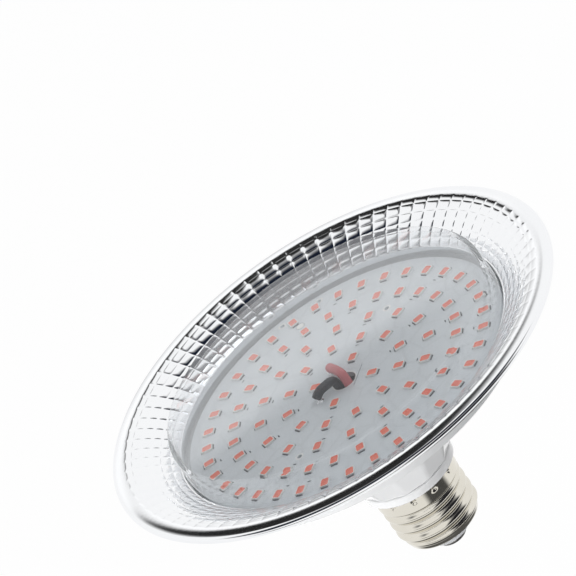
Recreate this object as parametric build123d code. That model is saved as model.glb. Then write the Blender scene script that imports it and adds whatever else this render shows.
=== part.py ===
from build123d import *
import os
from math import cos, pi, radians, sin, tan

# Reflector grow light bulb, in millimetres, with +Z up along its axis.
# The origin is the tip of the centre contact, where the screw cap meets its lampholder.
# The light leaves towards +Z, and one light chip of every ring lies on the +X line.

# Screw cap, Edison type with a 27 mm thread
THREAD_PITCH = 3.629
THREAD_CREST_R = 13.1
THREAD_DEPTH = 0.95
THREAD_LENGTH = 13.6
THREAD_RUN_OUT = 1.3
SHELL_SHEET = 0.35
SHELL_NOSE_STEP = 0.45
SHELL_NOSE_HEIGHT = 1.4
SKIRT_STEP = 0.2
SKIRT_LENGTH = 4.6
DIMPLE_COUNT = 12
DIMPLE_DEPTH = 0.6
DIMPLE_HEIGHT = 1.6
DIMPLE_FROM_NECK = 1.7
SHELL_COLUMNS = 2 * DIMPLE_COUNT
THREAD_ROWS_PER_TURN = 6

# Insulator and centre contact
CONTACT_R = 4.8
CONTACT_FLAT_R = 3.4
CONTACT_THICKNESS = 2.2
CONTACT_STEM_R = 1.5
CONTACT_STEM_LENGTH = 4.6
INSULATOR_HEIGHT = 4.6
INSULATOR_NOSE_R = 6.2
INSULATOR_WALL = 2.2
INSULATOR_PLUG_LENGTH = 2.4

# Neck housing, moulded in white plastic
HOUSING_WALL = 1.6
NECK_BAND_STEP = 1.6
NECK_BAND_HEIGHT = 3.0
band_rOUND = 0.5
NECK_SIDES = 12
NECK_TURN = 20.3
NECK_FACET_BLEND = 2.5
NECK_FACET_STEP = 0.4
NECK_FACET_HEIGHT = 16.5
NECK_FACET_FLARE = 8.1
SPIGOT_LENGTH = 4.0
SPIGOT_WALL = 1.7
DISH_RISE = 13.4
DISH_SAG = 2.2
LEDGE_THICKNESS = 2.0
LEDGE_WIDTH = 11.0
RIM_WALL = 1.2
RIM_HEIGHT = 2.2

# Light board
BOARD_THICKNESS = 1.6
BOARD_HOLE_R = 3.6
LOCATING_HOLE_R = 0.75
LOCATING_HOLE_SHARES = (0.943, 0.943, 0.591, 0.587)
LOCATING_HOLE_ANGLES = (208.0, 223.6, -10.8, 169.7)

# Light chips: each ring's share of the board's radius, and its count
CHIP_RING_SHARES = (0.884, 0.713, 0.54, 0.3655, 0.19)
CHIP_RING_COUNTS = (36, 28, 16, 12, 4)
CHIP_LENGTH = 3.5
CHIP_WIDTH = 2.8
CHIP_HEIGHT = 0.7
CHIP_RIM = 0.4
CHIP_FLOOR = 0.2
PHOSPHOR_DIP = 0.04
TERMINAL_REACH = 0.35
TERMINAL_WIDTH = 2.2
TERMINAL_HEIGHT = 0.2

# Clear cover
COVER_HEIGHT = 13.7
COVER_WALL = 1.2
COVER_DRAFT = 0.7
COVER_EDGE_ROUND = 1.0

# Reflector shade
SHADE_R = 71.2
SHADE_REACH = 19.6
SHADE_SHEET = 1.2
SHADE_COLLAR_HEIGHT = 4.3
TILE_COLUMNS = 84
TILE_RISE = 0.32
TILE_INSET = 0.3
TILE_ROW_SHARES = (10 / 60, 11 / 60, 12 / 60, 13 / 60, 14 / 60)
TILE_ROW_SLOPES = (37.5, 34.5, 30.5, 26.0, 20.5)
TILE_LIP_ROW = 1.8
TILE_LIP_RISE = 0.4
FLANGE_WIDTH = 4.5
FLANGE_DROP = 0.1
LIP_HEIGHT = 1.5
EDGE_ROUND = 1.2
SHADE_BAND = 0.4

# Driver board and its parts; each height is from the driver board's lower edge.
# A capacitor's specification is (radius, length, place across, height).
DRIVER_HALF_WIDTH = 9.2
DRIVER_TAIL_HALF_WIDTH = 8.2
DRIVER_THICKNESS = 1.6
DRIVER_DROP = 13.3
DRIVER_LENGTH = 34.5
RIB_HEIGHT = 18.0
RIB_LENGTH = 11.0
RIB_SEAT = 2.0
RIB_WIDTH = 4.4
CAPACITOR_SPECS = {"input_capacitor": (4.0, 12.0, -3.8, 28.0), "output_capacitor": (3.15, 11.0, 4.6, 28.0)}
CAPACITOR_ROUND = 0.6
CAPACITOR_LEG_GAP = 2.5
INDUCTOR_R = 4.0
INDUCTOR_LENGTH = 8.5
INDUCTOR_FLANGE = 1.3
INDUCTOR_CORE_R = 1.9
INDUCTOR_Z = 19.0
FILM_SIZE = (10.0, 4.6, 8.0)
FILM_Z = 10.8
RECTIFIER_SIZE = (8.2, 3.2, 6.2)
RECTIFIER_Z = 3.2
FUSE_R = 1.5
FUSE_LENGTH = 8.0
FUSE_X = -3.6
FUSE_Z = 2.5
CHIP_IC_SIZE = (4.9, 1.5, 3.9)
CHIP_IC_Z = 17.0
DIODE_SIZE = (2.6, 2.1, 4.4)
DIODE_Z = 25.0
RESISTOR_SIZE = (3.2, 0.6, 1.6)
RESISTOR_ROWS = 3
RESISTOR_PITCH = 3.4
RESISTOR_X = 6.2
RESISTOR_Z = 14.0
LEG_R = 0.3
LEG_LENGTH = 1.2

# Leads and solder
LEAD_R = 1.15
WIRE_R = 0.7
WIRE_BEND_R = 1.5
LIVE_RISE = 3.6
LIVE_TAIL = 3.0
NEUTRAL_INSET = 2.4
NEUTRAL_OVERLAP = 5.0
NEUTRAL_TAIL = 1.0
NEUTRAL_LIFT = 1.6
NEUTRAL_TURN = 25.0
SOLDER_R = 1.3
SOLDER_HEIGHT = 1.1
LEAD_BEND_R = 2.9
LEAD_TIGHT_BEND_R = 1.9
LEAD_EASY_BEND_R = 20.0
LEAD_TAIL = 3.5
LEAD_OVERHANG = 0.8
LEAD_END_GAP = 0.5
RED_ARCH = 3.4
BLACK_ARCH = 4.6
RED_HOLE_PLACE = (1.4, 1.85)
BLACK_HOLE_PLACE = (1.75, -1.5)
RED_PAD = (-5.6, -6.0)
BLACK_PAD = (6.6, -6.1)

# Clearances
SEAT_GAP = 0.1
SLIP_GAP = 0.2
SLOT_GAP = 0.15

FULL_TURN = 360

# Heights worked out from the sizes above
insulator_bottom = CONTACT_THICKNESS
shell_bottom = insulator_bottom + INSULATOR_HEIGHT - SEAT_GAP
thread_bottom = shell_bottom + SHELL_NOSE_HEIGHT
thread_top = thread_bottom + THREAD_LENGTH
neck_bottom = thread_top + SKIRT_LENGTH
facet_bottom = neck_bottom + NECK_BAND_HEIGHT
facet_top = facet_bottom + NECK_FACET_HEIGHT
ledge_top = facet_top + DISH_RISE + LEDGE_THICKNESS
board_top = ledge_top + BOARD_THICKNESS
cover_top = ledge_top + COVER_HEIGHT
collar_top = ledge_top + SHADE_COLLAR_HEIGHT
driver_bottom = neck_bottom - DRIVER_DROP
driver_top = driver_bottom + DRIVER_LENGTH
rib_bottom = driver_bottom + RIB_HEIGHT

# Radii worked out from the sizes above
thread_root_r = THREAD_CREST_R - THREAD_DEPTH
skirt_r = THREAD_CREST_R + SKIRT_STEP
nose_r = thread_root_r - SHELL_NOSE_STEP
spigot_r = (skirt_r - SHELL_SHEET) * cos(pi / SHELL_COLUMNS) - SEAT_GAP
spigot_bore_r = spigot_r - SPIGOT_WALL
plug_r = nose_r - SHELL_SHEET - SEAT_GAP
band_r = skirt_r + NECK_BAND_STEP
facet_r = band_r - NECK_FACET_STEP
facet_top_r = facet_r + NECK_FACET_FLARE
cover_r = SHADE_R - SHADE_REACH
cover_foot_r = cover_r + COVER_DRAFT
board_r = cover_foot_r - COVER_WALL - SLIP_GAP
collar_r = cover_foot_r + SLIP_GAP
tile_start_r = collar_r + SHADE_BAND
rim_bore_r = collar_r + SHADE_SHEET + SEAT_GAP
rim_r = rim_bore_r + RIM_WALL
driver_face = DRIVER_THICKNESS / 2

UP = (Align.CENTER, Align.CENTER, Align.MIN)
ON_FACE = (Align.CENTER, Align.MIN, Align.CENTER)
UNDER_FACE = (Align.CENTER, Align.MAX, Align.CENTER)


def save(shape, node):
    """Write one node's shape as parts/NODE.step."""
    export_step(shape, f"parts/{node}.step")


def group(solids):
    """Several separate solids as one node's shape."""
    return Compound(list(solids))


def turned(*edges):
    """Solid of revolution about Z, from edges drawn as (radius, height)."""
    return revolve(Plane.XZ * make_face(list(edges)), Axis.Z)


def turned_outline(*points):
    """Solid of revolution about Z, from the corners of a closed (radius, height) outline."""
    return turned(*Polyline(*points, close=True).edges())


def around(radius, degrees, height):
    """Point at a radius, an angle about Z and a height."""
    return Vector(radius * cos(radians(degrees)), radius * sin(radians(degrees)), height)


def flat_face(*corners):
    """Flat face through three or four corners."""
    return Face(Wire.make_polygon(list(corners), close=True))


def solid_of(faces):
    """Closed solid from faces that share their edges."""
    return Solid(Shell(faces))


def prism_between(sides, low_r, low_z, high_r, high_z):
    """Tapered prism with flat sides; the radii reach the middle of each side."""
    low = Plane.XY.offset(low_z) * RegularPolygon(low_r, sides, major_radius=False)
    high = Plane.XY.offset(high_z) * RegularPolygon(high_r, sides, major_radius=False)
    return loft([low, high], ruled=True)


# Screw cap

def smooth_step(value, start, length):
    """Rise from 0 to 1 over a length, level at both ends."""
    share = min(max((value - start) / length, 0.0), 1.0)
    return share * share * (3 - 2 * share)


def shell_radius(turn, height):
    """Outer radius of the screw shell at a share of a turn and a height."""
    fade = smooth_step(height, thread_bottom, THREAD_RUN_OUT)
    fade -= smooth_step(height, thread_top - THREAD_RUN_OUT, THREAD_RUN_OUT)
    wave = 0.5 + 0.5 * cos(2 * pi * ((height - thread_bottom) / THREAD_PITCH - turn))
    nose = smooth_step(height, shell_bottom, SHELL_NOSE_HEIGHT)
    skirt = smooth_step(height, thread_top - THREAD_RUN_OUT, THREAD_RUN_OUT)
    radius = nose_r + (thread_root_r - nose_r) * nose
    return radius + (skirt_r - thread_root_r) * skirt + THREAD_DEPTH * wave * fade


def shell_heights():
    """Heights of the screw shell's rows of points, from the nose to the neck."""
    rows = round(THREAD_LENGTH / THREAD_PITCH * THREAD_ROWS_PER_TURN)
    nose = [shell_bottom, shell_bottom + SHELL_NOSE_HEIGHT / 2]
    thread = [thread_bottom + THREAD_LENGTH * row / rows for row in range(rows + 1)]
    dimple = neck_bottom - DIMPLE_FROM_NECK
    return nose + thread + [dimple - DIMPLE_HEIGHT / 2, dimple, dimple + DIMPLE_HEIGHT / 2, neck_bottom]


def shell_points(inward):
    """Grid of points on the screw shell's wall, moved inward by the sheet."""
    dimple = neck_bottom - DIMPLE_FROM_NECK
    grid = []
    for height in shell_heights():
        row = []
        for column in range(SHELL_COLUMNS):
            turn = column / SHELL_COLUMNS
            dent = DIMPLE_DEPTH if height == dimple and column % 2 == 0 else 0
            radius = shell_radius(turn, height) - dent - inward
            row.append(around(radius, FULL_TURN * turn + NECK_TURN, height))
        grid.append(row)
    return grid


def screw_shell():
    outer = shell_points(0)
    inner = shell_points(SHELL_SHEET)
    faces = []
    for column in range(SHELL_COLUMNS):
        after = (column + 1) % SHELL_COLUMNS
        for grid in (outer, inner):
            for below, above in zip(grid, grid[1:]):
                faces.append(flat_face(below[column], below[after], above[after]))
                faces.append(flat_face(below[column], above[after], above[column]))
        for out, into in ((outer[0], inner[0]), (outer[-1], inner[-1])):
            faces.append(flat_face(out[column], out[after], into[after], into[column]))
    return solid_of(faces)


def cap_insulator():
    top = insulator_bottom + INSULATOR_HEIGHT
    plug_top = top + INSULATOR_PLUG_LENGTH
    bore = CONTACT_STEM_R + SEAT_GAP
    return turned_outline(
        (bore, insulator_bottom),
        (INSULATOR_NOSE_R, insulator_bottom),
        (plug_r, top - SEAT_GAP),
        (plug_r, plug_top),
        (plug_r - INSULATOR_WALL, plug_top),
        (plug_r - INSULATOR_WALL, top),
        (bore + INSULATOR_WALL, insulator_bottom + INSULATOR_WALL),
        (bore, insulator_bottom + INSULATOR_WALL),
    )


def centre_contact():
    shoulder = CONTACT_R - CONTACT_FLAT_R
    stem_top = CONTACT_THICKNESS + CONTACT_STEM_LENGTH
    return turned(
        Line((0, 0), (CONTACT_FLAT_R, 0)),
        RadiusArc((CONTACT_FLAT_R, 0), (CONTACT_R, shoulder), -shoulder),
        Line((CONTACT_R, shoulder), (CONTACT_R, CONTACT_THICKNESS)),
        Line((CONTACT_R, CONTACT_THICKNESS), (CONTACT_STEM_R, CONTACT_THICKNESS)),
        Line((CONTACT_STEM_R, CONTACT_THICKNESS), (CONTACT_STEM_R, stem_top)),
        Line((CONTACT_STEM_R, stem_top), (0, stem_top)),
        Line((0, stem_top), (0, 0)),
    )


# Neck housing

def neck_facets(inward):
    """Flat-sided flare of the neck, moved inward by a wall and run on into the dish."""
    low = facet_r - inward
    reach = NECK_FACET_HEIGHT + NECK_FACET_BLEND
    high = low + NECK_FACET_FLARE * reach / NECK_FACET_HEIGHT
    return Rot(0, 0, NECK_TURN) * prism_between(NECK_SIDES, low, facet_bottom, high, facet_bottom + reach)


def housing_dish():
    """Flared dish that carries the light board, the cover and the shade."""
    dish_top = facet_top + DISH_RISE
    inner_r = facet_top_r - HOUSING_WALL
    bore_r = rim_r - LEDGE_WIDTH
    middle = ((facet_top_r + rim_r) / 2, (facet_top + dish_top) / 2 + DISH_SAG)
    inner_middle = ((inner_r + bore_r) / 2, middle[1] + HOUSING_WALL / 2)
    return turned(
        ThreePointArc((facet_top_r, facet_top), middle, (rim_r, dish_top)),
        Line((rim_r, dish_top), (rim_r, ledge_top + RIM_HEIGHT)),
        Line((rim_r, ledge_top + RIM_HEIGHT), (rim_bore_r, ledge_top + RIM_HEIGHT)),
        Line((rim_bore_r, ledge_top + RIM_HEIGHT), (rim_bore_r, ledge_top)),
        Line((rim_bore_r, ledge_top), (bore_r, ledge_top)),
        Line((bore_r, ledge_top), (bore_r, dish_top)),
        ThreePointArc((bore_r, dish_top), inner_middle, (inner_r, facet_top)),
        Line((inner_r, facet_top), (facet_top_r, facet_top)),
    )


def guide_ribs():
    """Two ribs inside the neck with slots for the driver board's edges."""
    slot_x = DRIVER_HALF_WIDTH + SLOT_GAP
    slot_width = DRIVER_THICKNESS + 2 * SLOT_GAP
    inside = neck_facets(HOUSING_WALL / 2)
    ribs = []
    for side in (-1, 1):
        reach = facet_top_r
        start = DRIVER_TAIL_HALF_WIDTH + SLOT_GAP
        rib = Box(reach, RIB_WIDTH, RIB_LENGTH, align=(Align.MIN, Align.CENTER, Align.MIN))
        slot = Box(slot_x, slot_width, RIB_LENGTH, align=(Align.MIN, Align.CENTER, Align.MIN))
        rib = Pos(start, 0, rib_bottom) * rib - Pos(0, 0, rib_bottom + RIB_SEAT) * slot
        ribs.append(Rot(0, 0, 90 - 90 * side) * rib & inside)
    return ribs


def neck_housing():
    band = turned_outline(
        (spigot_bore_r, neck_bottom),
        (band_r - band_rOUND, neck_bottom),
        (band_r, neck_bottom + band_rOUND),
        (band_r, facet_bottom - band_rOUND),
        (band_r - band_rOUND, facet_bottom),
        (spigot_bore_r, facet_bottom),
    )
    groove_r = spigot_r - DIMPLE_DEPTH
    groove_z = neck_bottom - DIMPLE_FROM_NECK
    spigot = turned_outline(
        (spigot_bore_r, neck_bottom - SPIGOT_LENGTH),
        (spigot_r, neck_bottom - SPIGOT_LENGTH),
        (spigot_r, groove_z - DIMPLE_HEIGHT / 2),
        (groove_r, groove_z - DIMPLE_HEIGHT / 4),
        (groove_r, groove_z + DIMPLE_HEIGHT / 4),
        (spigot_r, groove_z + DIMPLE_HEIGHT / 2),
        (spigot_r, neck_bottom),
        (spigot_bore_r, neck_bottom),
    )
    facets = neck_facets(0) - neck_facets(HOUSING_WALL)
    housing = facets + band + spigot + housing_dish()
    for rib in guide_ribs():
        housing += rib
    return housing


# Light board and its chips

def light_board():
    board = Cylinder(board_r, BOARD_THICKNESS, align=UP) - Cylinder(BOARD_HOLE_R, BOARD_THICKNESS, align=UP)
    for share, degrees in zip(LOCATING_HOLE_SHARES, LOCATING_HOLE_ANGLES):
        hole = Cylinder(LOCATING_HOLE_R, BOARD_THICKNESS, align=UP)
        board -= Pos(around(share * board_r, degrees, 0)) * hole
    return Pos(0, 0, ledge_top) * board


def chip_places():
    """Place of each light chip, with its length along the radius."""
    for share, count in zip(CHIP_RING_SHARES, CHIP_RING_COUNTS):
        for number in range(count):
            yield Rot(0, 0, FULL_TURN * number / count) * Pos(share * board_r, 0, board_top)


def chip_well(height):
    return Box(CHIP_LENGTH - 2 * CHIP_RIM, CHIP_WIDTH - 2 * CHIP_RIM, height, align=UP)


def chip_frame():
    frame = Box(CHIP_LENGTH, CHIP_WIDTH, CHIP_HEIGHT, align=UP)
    return frame - Pos(0, 0, CHIP_FLOOR) * chip_well(CHIP_HEIGHT)


def chip_phosphor():
    return Pos(0, 0, CHIP_FLOOR) * chip_well(CHIP_HEIGHT - CHIP_FLOOR - PHOSPHOR_DIP)


def chip_terminals():
    for side in (-1, 1):
        x = side * (CHIP_LENGTH + TERMINAL_REACH) / 2
        yield Pos(x, 0, 0) * Box(TERMINAL_REACH, TERMINAL_WIDTH, TERMINAL_HEIGHT, align=UP)


# Clear cover

def clear_cover():
    foot_inner = cover_foot_r - COVER_WALL
    roof = cover_top - COVER_WALL
    inner_r = cover_r - COVER_WALL
    corner = COVER_EDGE_ROUND
    return turned(
        Line((0, roof), (inner_r, roof)),
        Line((inner_r, roof), (foot_inner, ledge_top)),
        Line((foot_inner, ledge_top), (cover_foot_r, ledge_top)),
        Line((cover_foot_r, ledge_top), (cover_r, cover_top - corner)),
        RadiusArc((cover_r, cover_top - corner), (cover_r - corner, cover_top), -corner),
        Line((cover_r - corner, cover_top), (0, cover_top)),
        Line((0, cover_top), (0, roof)),
    )


# Reflector shade

def tile_rings():
    """(radius, height) of each circle of tile corners, from the collar to the flange."""
    slope_width = SHADE_R - FLANGE_WIDTH - TILE_LIP_ROW - tile_start_r
    rings = [(tile_start_r, collar_top)]
    for share, slope in zip(TILE_ROW_SHARES, TILE_ROW_SLOPES):
        step = share * slope_width
        radius, height = rings[-1]
        rings.append((radius + step, height + step * tan(radians(slope))))
    radius, height = rings[-1]
    rings.append((radius + TILE_LIP_ROW, height + TILE_LIP_RISE))
    return rings


def tile_faces(corners):
    """Five faces of one raised tile: a flat top and four bevels down to its corners."""
    centre = sum(corners, Vector(0, 0, 0)) / 4
    normal = (corners[1] - corners[0]).cross(corners[3] - corners[0]).normalized()
    lift = normal * TILE_RISE if normal.Z > 0 else normal * -TILE_RISE
    top = [centre + (corner - centre) * (1 - TILE_INSET) + lift for corner in corners]
    faces = [flat_face(*top)]
    for side in range(4):
        after = (side + 1) % 4
        faces.append(flat_face(corners[side], corners[after], top[after], top[side]))
    return faces


def tile_field():
    """Every tile of the shade's front."""
    faces = []
    rings = tile_rings()
    for (low_r, low_z), (high_r, high_z) in zip(rings, rings[1:]):
        for column in range(TILE_COLUMNS):
            left = FULL_TURN * column / TILE_COLUMNS
            right = FULL_TURN * (column + 1) / TILE_COLUMNS
            corners = [
                around(low_r, left, low_z),
                around(low_r, right, low_z),
                around(high_r, right, high_z),
                around(high_r, left, high_z),
            ]
            faces += tile_faces(corners)
    return faces


def ring_polygon(radius, height):
    """Closed wire through one circle of tile corners."""
    return Wire.make_polygon(
        [around(radius, FULL_TURN * column / TILE_COLUMNS, height) for column in range(TILE_COLUMNS)],
        close=True,
    )


def ring_circle(radius, height):
    return Wire(Edge.make_circle(radius, Plane.XY.offset(height)))


def shade_back_outline():
    """Edges of the shade's smooth surfaces, from the flange round the back to the collar."""
    rings = tile_rings()
    top_r, top_z = rings[-1]
    slope_r, slope_z = rings[-2]
    flange_r = top_r + SHADE_BAND
    edge_z = top_z - FLANGE_DROP
    lip_z = edge_z - LIP_HEIGHT
    inner_lip_r = SHADE_R - SHADE_SHEET
    back = SHADE_SHEET
    collar_out = collar_r + SHADE_SHEET
    points = [
        (SHADE_R, lip_z),
        (inner_lip_r, lip_z),
        (inner_lip_r, edge_z - back),
        (top_r + back / 2, top_z - back),
        (slope_r + back / 2, slope_z - back),
        (collar_out, collar_top - back / 2),
        (collar_out, ledge_top),
        (collar_r, ledge_top),
        (collar_r, collar_top),
    ]
    edges = [
        Edge.make_line((flange_r, 0, top_z), (SHADE_R - EDGE_ROUND, 0, edge_z)),
        Edge.make_three_point_arc(
            (SHADE_R - EDGE_ROUND, 0, edge_z),
            (SHADE_R - EDGE_ROUND * (1 - cos(pi / 4)), 0, edge_z - EDGE_ROUND * (1 - sin(pi / 4))),
            (SHADE_R, 0, edge_z - EDGE_ROUND),
        ),
        Edge.make_line((SHADE_R, 0, edge_z - EDGE_ROUND), (SHADE_R, 0, lip_z)),
    ]
    for (from_r, from_z), (to_r, to_z) in zip(points, points[1:]):
        edges.append(Edge.make_line((from_r, 0, from_z), (to_r, 0, to_z)))
    return edges


def reflector_shade():
    rings = tile_rings()
    low_r, low_z = rings[0]
    high_r, high_z = rings[-1]
    faces = tile_field()
    faces.append(Face(ring_polygon(low_r, low_z), [ring_circle(collar_r, low_z)]))
    faces.append(Face(ring_circle(high_r + SHADE_BAND, high_z), [ring_polygon(high_r, high_z)]))
    for edge in shade_back_outline():
        faces.append(Face.revolve(edge, FULL_TURN, Axis.Z))
    return solid_of(faces)


# Driver board and its parts

def driver_board():
    seat = rib_bottom + RIB_SEAT
    upper = Pos(0, 0, seat) * Box(2 * DRIVER_HALF_WIDTH, DRIVER_THICKNESS, driver_top - seat, align=UP)
    tail_height = seat - driver_bottom
    tail = Box(2 * DRIVER_TAIL_HALF_WIDTH, DRIVER_THICKNESS, tail_height, align=UP)
    return upper + Pos(0, 0, driver_bottom) * tail


def standing_cylinder(radius, length):
    """Cylinder that stands on the driver board's front."""
    return Rot(-90, 0, 0) * Cylinder(radius, length, align=UP)


def capacitor(radius, length, x, z):
    can = Cylinder(radius, length, align=UP)
    can = fillet(can.edges().filter_by(GeomType.CIRCLE), CAPACITOR_ROUND)
    return Pos(x, driver_face, driver_bottom + z) * Rot(-90, 0, 0) * can


def inductor_core():
    """Ferrite drum: two flanges on a core."""
    middle = INDUCTOR_LENGTH - 2 * INDUCTOR_FLANGE
    drum = standing_cylinder(INDUCTOR_R, INDUCTOR_FLANGE)
    drum += Pos(0, INDUCTOR_FLANGE, 0) * standing_cylinder(INDUCTOR_CORE_R, middle)
    drum += Pos(0, INDUCTOR_FLANGE + middle, 0) * standing_cylinder(INDUCTOR_R, INDUCTOR_FLANGE)
    return Pos(0, driver_face, driver_bottom + INDUCTOR_Z) * drum


def inductor_winding():
    middle = INDUCTOR_LENGTH - 2 * INDUCTOR_FLANGE
    coil = standing_cylinder(INDUCTOR_R - SLIP_GAP, middle) - standing_cylinder(INDUCTOR_CORE_R, middle)
    return Pos(0, driver_face + INDUCTOR_FLANGE, driver_bottom + INDUCTOR_Z) * coil


def front_block(size, x, z):
    return Pos(x, driver_face, driver_bottom + z) * Box(*size, align=ON_FACE)


def back_block(size, x, z):
    return Pos(x, -driver_face, driver_bottom + z) * Box(*size, align=UNDER_FACE)


def fuse_resistor():
    place = Pos(FUSE_X, -driver_face - FUSE_R, driver_bottom + FUSE_Z)
    return place * Cylinder(FUSE_R, FUSE_LENGTH, align=UP)


def chip_resistors():
    for side in (-1, 1):
        for row in range(RESISTOR_ROWS):
            yield back_block(RESISTOR_SIZE, side * RESISTOR_X, RESISTOR_Z + row * RESISTOR_PITCH)


def component_legs():
    """Cut-off legs of the standing parts, on the driver board's back."""
    for radius, length, x, z in CAPACITOR_SPECS.values():
        for side in (-1, 1):
            place = Pos(x + side * CAPACITOR_LEG_GAP / 2, -driver_face, driver_bottom + z)
            yield place * Rot(90, 0, 0) * Cylinder(LEG_R, LEG_LENGTH, align=UP)


# Leads

def lead(radius, points, bends):
    """Round lead along straight runs joined by bends."""
    path = FilletPolyline(*points, radius=bends)
    start = Plane(origin=path @ 0, z_dir=path % 0)
    return sweep(start * Circle(radius), path)


def red_lead():
    y = driver_face + LEAD_R + SEAT_GAP
    x, hole_y = RED_HOLE_PLACE
    points = [
        (x, y, driver_top - LEAD_TAIL),
        (x, y, driver_top + LEAD_TAIL),
        (x, hole_y, board_top + RED_ARCH),
        (RED_PAD[0] - LEAD_OVERHANG, RED_PAD[1] - LEAD_OVERHANG, board_top + SOLDER_HEIGHT + LEAD_R),
    ]
    return lead(LEAD_R, points, [LEAD_EASY_BEND_R, LEAD_BEND_R])


def black_lead():
    y = -driver_face - LEAD_R - SEAT_GAP
    x, hole_y = BLACK_HOLE_PLACE
    points = [
        (x, y, driver_top - LEAD_TAIL),
        (x, y, driver_top + LEAD_TAIL),
        (x, hole_y, board_top + BLACK_ARCH),
        (BLACK_PAD[0] - LEAD_OVERHANG, BLACK_PAD[1] + LEAD_OVERHANG, board_top + BLACK_ARCH),
        (BLACK_PAD[0], BLACK_PAD[1], board_top + SOLDER_HEIGHT + LEAD_END_GAP),
    ]
    return lead(LEAD_R, points, [LEAD_EASY_BEND_R, LEAD_TIGHT_BEND_R, LEAD_TIGHT_BEND_R])


def live_lead():
    """Wire from the centre contact's stem to the fuse resistor."""
    stem_top = CONTACT_THICKNESS + CONTACT_STEM_LENGTH
    y = -driver_face - FUSE_R
    fuse_bottom = driver_bottom + FUSE_Z
    points = [
        (0, 0, stem_top),
        (0, 0, stem_top + LIVE_RISE),
        (FUSE_X, y, fuse_bottom - LIVE_TAIL),
        (FUSE_X, y, fuse_bottom),
    ]
    return lead(WIRE_R, points, WIRE_BEND_R)


def neutral_lead():
    """Wire from the driver board's tail to the inside of the screw shell."""
    x = DRIVER_TAIL_HALF_WIDTH - NEUTRAL_INSET
    y = -driver_face - WIRE_R - SEAT_GAP
    plug_top = insulator_bottom + INSULATOR_HEIGHT + INSULATOR_PLUG_LENGTH
    wall = thread_root_r - SHELL_SHEET - WIRE_R - SEAT_GAP
    points = [
        (x, y, driver_bottom + NEUTRAL_OVERLAP),
        (x, y, driver_bottom - NEUTRAL_TAIL),
        around(wall, -NEUTRAL_TURN, plug_top + NEUTRAL_LIFT),
    ]
    return lead(WIRE_R, points, WIRE_BEND_R)


def solder_dome(x, y):
    """Solder joint on the light board."""
    room = 3 * SOLDER_R
    dome = Sphere(SOLDER_R) & Box(room, room, SOLDER_HEIGHT, align=UP)
    return Pos(x, y, board_top) * dome


# The whole bulb

def light_chips():
    frames = []
    phosphors = []
    terminals = []
    for place in chip_places():
        frames.append(place * chip_frame())
        phosphors.append(place * chip_phosphor())
        terminals += [place * terminal for terminal in chip_terminals()]
    save(group(frames), "chip_frames")
    save(group(phosphors), "chip_phosphors")
    save(group(terminals), "chip_terminals")


def driver_parts():
    save(driver_board(), "driver_board")
    for node, spec in CAPACITOR_SPECS.items():
        save(capacitor(*spec), node)
    save(inductor_core(), "inductor_core")
    save(inductor_winding(), "inductor_winding")
    save(front_block(FILM_SIZE, 0, FILM_Z), "film_capacitor")
    save(front_block(RECTIFIER_SIZE, 0, RECTIFIER_Z), "bridge_rectifier")
    save(fuse_resistor(), "fuse_resistor")
    save(back_block(CHIP_IC_SIZE, 0, CHIP_IC_Z), "driver_chip")
    save(back_block(DIODE_SIZE, 0, DIODE_Z), "rectifier_diode")
    save(group(chip_resistors()), "chip_resistors")
    save(group(component_legs()), "component_legs")


os.makedirs("parts", exist_ok=True)
save(screw_shell(), "screw_shell")
save(cap_insulator(), "cap_insulator")
save(centre_contact(), "centre_contact")
save(neck_housing(), "neck_housing")
save(light_board(), "light_board")
save(clear_cover(), "clear_cover")
save(reflector_shade(), "reflector_shade")
light_chips()
driver_parts()
save(red_lead(), "red_lead")
save(black_lead(), "black_lead")
save(live_lead(), "live_lead")
save(neutral_lead(), "neutral_lead")
save(group([solder_dome(*RED_PAD), solder_dome(*BLACK_PAD)]), "solder_joints")
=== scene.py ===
import random
from math import cos, hypot, pi, radians, sin, tan

import bmesh
import bpy
from mathutils import Matrix, Vector


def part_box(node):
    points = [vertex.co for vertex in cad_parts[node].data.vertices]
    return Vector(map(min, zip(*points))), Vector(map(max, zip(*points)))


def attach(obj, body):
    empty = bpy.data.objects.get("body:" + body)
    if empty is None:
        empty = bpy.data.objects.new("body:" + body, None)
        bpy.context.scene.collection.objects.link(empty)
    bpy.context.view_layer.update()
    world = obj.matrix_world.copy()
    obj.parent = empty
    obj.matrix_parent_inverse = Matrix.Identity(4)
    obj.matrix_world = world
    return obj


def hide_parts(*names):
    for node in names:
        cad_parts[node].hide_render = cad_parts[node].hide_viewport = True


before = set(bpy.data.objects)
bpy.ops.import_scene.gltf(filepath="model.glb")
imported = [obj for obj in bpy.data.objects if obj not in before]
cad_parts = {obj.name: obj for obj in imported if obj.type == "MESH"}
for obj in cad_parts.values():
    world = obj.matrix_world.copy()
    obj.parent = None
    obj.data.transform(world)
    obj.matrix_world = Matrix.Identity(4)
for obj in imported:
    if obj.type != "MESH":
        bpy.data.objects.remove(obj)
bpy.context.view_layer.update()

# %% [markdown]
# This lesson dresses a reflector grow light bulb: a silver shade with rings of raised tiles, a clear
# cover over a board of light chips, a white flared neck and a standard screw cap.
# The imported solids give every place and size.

MM = 0.001
scene = bpy.context.scene

# %% [markdown]
# Heights and radii are read from the solids where they can be, so a changed solid moves what sits
# on it. Later cells add the real sizes of the thread, the tiles and the chips.

# %% Heights and radii from the solids
ledge_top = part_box("light_board")[0].z
board_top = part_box("light_board")[1].z
cover_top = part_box("clear_cover")[1].z
cover_foot_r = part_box("clear_cover")[1].x
shade_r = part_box("reflector_shade")[1].x
shell_low, shell_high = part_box("screw_shell")
skirt_r = (shell_high.x - shell_low.x) / 2
print("board top", round(board_top, 4), "cover top", round(cover_top, 4), "shade radius", round(shade_r, 4))

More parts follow.
